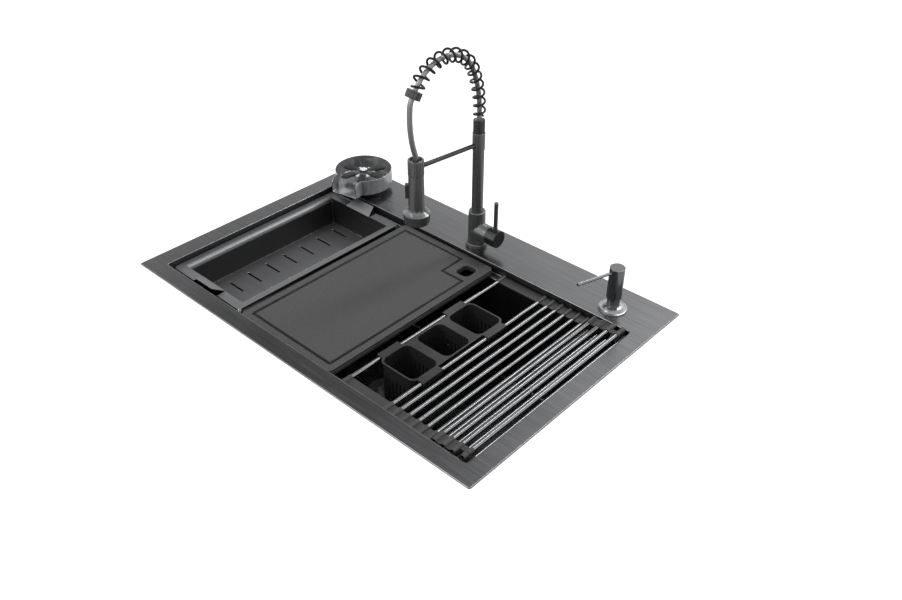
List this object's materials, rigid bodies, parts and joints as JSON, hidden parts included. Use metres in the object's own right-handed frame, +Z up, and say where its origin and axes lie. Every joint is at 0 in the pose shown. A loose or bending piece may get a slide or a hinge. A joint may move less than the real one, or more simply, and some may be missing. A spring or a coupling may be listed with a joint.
{
  "type": "workstation kitchen sink",
  "caption": "Dark drop-in kitchen sink with spring spout faucet, soap pump, glass rinser, and a colander, board, roll-up rack and cup caddy on its ledge.",
  "frame": {"origin": "middle of the flange on the plane of the worktop", "axes": "+X to the right, +Y to the back with the tap deck, +Z up"},
  "size_m": [0.838, 0.559, 0.7981],
  "materials": {
    "dark_steel": "dark nano coated satin steel",
    "dark_metal": "satin gunmetal coating",
    "black_rubber": "matt",
    "plain_steel": "satin",
    "zinc_steel": "zinc plated",
    "brass": "turned",
    "white_plastic": "plain",
    "hose": "grey braided jacket",
    "board": "fine speckled composite",
    "caddy": "black satin plastic",
    "petal_plastic": "ribbed",
    "chrome": "polished",
    "colander_steel": "dark satin steel",
    "rod_steel": "dark satin steel",
    "face_plastic": "grey"
  },
  "bodies": {
    "sink": {"sink_bowl": "dark_steel", "rim_seal": "black_rubber", "sound_pads": "black_rubber", "clip_rails": "zinc_steel", "clip_bolts": "zinc_steel", "clip_claws": "zinc_steel", "clip_nuts": "zinc_steel", "drain_body": "plain_steel", "drain_gasket": "black_rubber", "drain_nut": "white_plastic", "tailpiece": "plain_steel", "tailpiece_nut": "white_plastic", "deck_washers": "black_rubber", "deck_nuts": "brass", "faucet_base_ring": "dark_metal", "faucet_body": "dark_metal", "faucet_shank": "brass", "supply_inlets": "brass", "cartridge": "white_plastic", "dispenser_flange": "dark_metal", "dispenser_shank": "dark_metal", "dispenser_bottle": "white_plastic", "dip_tube": "white_plastic", "pump_barrel": "white_plastic", "pump_spring": "zinc_steel", "rinser_base": "dark_metal", "rinser_bowl": "dark_steel", "rinser_shank": "brass", "rinser_spring": "zinc_steel"},
    "strainer": {"strainer_basket": "plain_steel"},
    "valve_stem": {"cartridge_stem": "brass"},
    "lever": {"lever_pin": "zinc_steel", "lever_cap": "dark_metal", "lever_rod": "dark_metal"},
    "spout": {"spout_column": "dark_metal", "column_sleeve": "dark_metal", "spring_seat": "dark_metal", "spout_spring": "dark_metal", "spring_hose": "hose", "spring_end_cap": "dark_metal", "docking_arm": "dark_metal", "head_holder": "dark_metal", "spray_hose": "hose"},
    "spray": {"spray_head": "dark_metal", "spray_face": "face_plastic"},
    "button": {"spray_button": "caddy"},
    "plunger": {"pump_stem": "white_plastic"},
    "pump": {"pump_head": "dark_metal", "pump_nozzle": "dark_metal"},
    "petals": {"rinser_petals": "petal_plastic", "rinser_star": "chrome"},
    "colander": {"colander": "colander_steel", "colander_feet": "black_rubber"},
    "board": {"cutting_board": "board"},
    "rack": {"rack_rods": "rod_steel", "rack_strips": "black_rubber"},
    "flap": {"flap_rods": "rod_steel", "flap_strips": "black_rubber"},
    "caddy": {"cup_caddy": "caddy"}
  },
  "joints": [
    {"name": "spout_swivel", "type": "hinge", "parent": "sink", "child": "spout", "pos_m": [0.0045, 0.2065, 0.079], "axis": [0, 0, 1], "range_deg": [-150, 150]},
    {"name": "lever_temperature", "type": "hinge", "parent": "sink", "child": "valve_stem", "pos_m": [0.0345, 0.2065, 0.036], "axis": [1, 0, 0], "range_deg": [-45, 45]},
    {"name": "lever_flow", "type": "hinge", "parent": "valve_stem", "child": "lever", "pos_m": [0.0453, 0.2065, 0.036], "axis": [0, 1, 0], "range_deg": [0, 20]},
    {"name": "spray_pull_down", "type": "slide", "parent": "spout", "child": "spray", "axis": [0, 0, -1], "range_m": [0, 0.04], "deforming": ["spray_hose"]},
    {"name": "spray_button_press", "type": "slide", "parent": "spray", "child": "button", "axis": [0.7193, 0.6947, 0], "range_m": [0, 0.002], "stiffness_N_per_m": 1500, "springref_m": -0.001},
    {"name": "pump_press", "type": "slide", "parent": "sink", "child": "plunger", "axis": [0, 0, -1], "range_m": [0, 0.014], "stiffness_N_per_m": 400, "springref_m": -0.01, "deforming": ["pump_spring"]},
    {"name": "pump_swivel", "type": "hinge", "parent": "plunger", "child": "pump", "pos_m": [0.3214, 0.2124, 0.073], "axis": [0, 0, 1], "continuous": true},
    {"name": "rinser_press", "type": "slide", "parent": "sink", "child": "petals", "axis": [0, 0, -1], "range_m": [0, 0.005], "stiffness_N_per_m": 900, "springref_m": -0.003, "deforming": ["rinser_spring"]},
    {"name": "strainer_lift", "type": "slide", "parent": "sink", "child": "strainer", "axis": [0, 0, 1], "range_m": [0, 0.06]},
    {"name": "colander_slide", "type": "slide", "parent": "sink", "child": "colander", "axis": [1, 0, 0], "range_m": [0, 0.014]},
    {"name": "board_lift", "type": "slide", "parent": "sink", "child": "board", "axis": [0, 0, 1], "range_m": [0, 0.05]},
    {"name": "rack_lift", "type": "slide", "parent": "sink", "child": "rack", "axis": [0, 0, 1], "range_m": [0, 0.05]},
    {"name": "rack_fold", "type": "hinge", "parent": "rack", "child": "flap", "pos_m": [0.3711, -0.03475, 0.002], "axis": [0, 1, 0], "range_deg": [0, 160]},
    {"name": "caddy_lift", "type": "slide", "parent": "rack", "child": "caddy", "axis": [0, 0, 1], "range_m": [0, 0.04]}
  ]
}
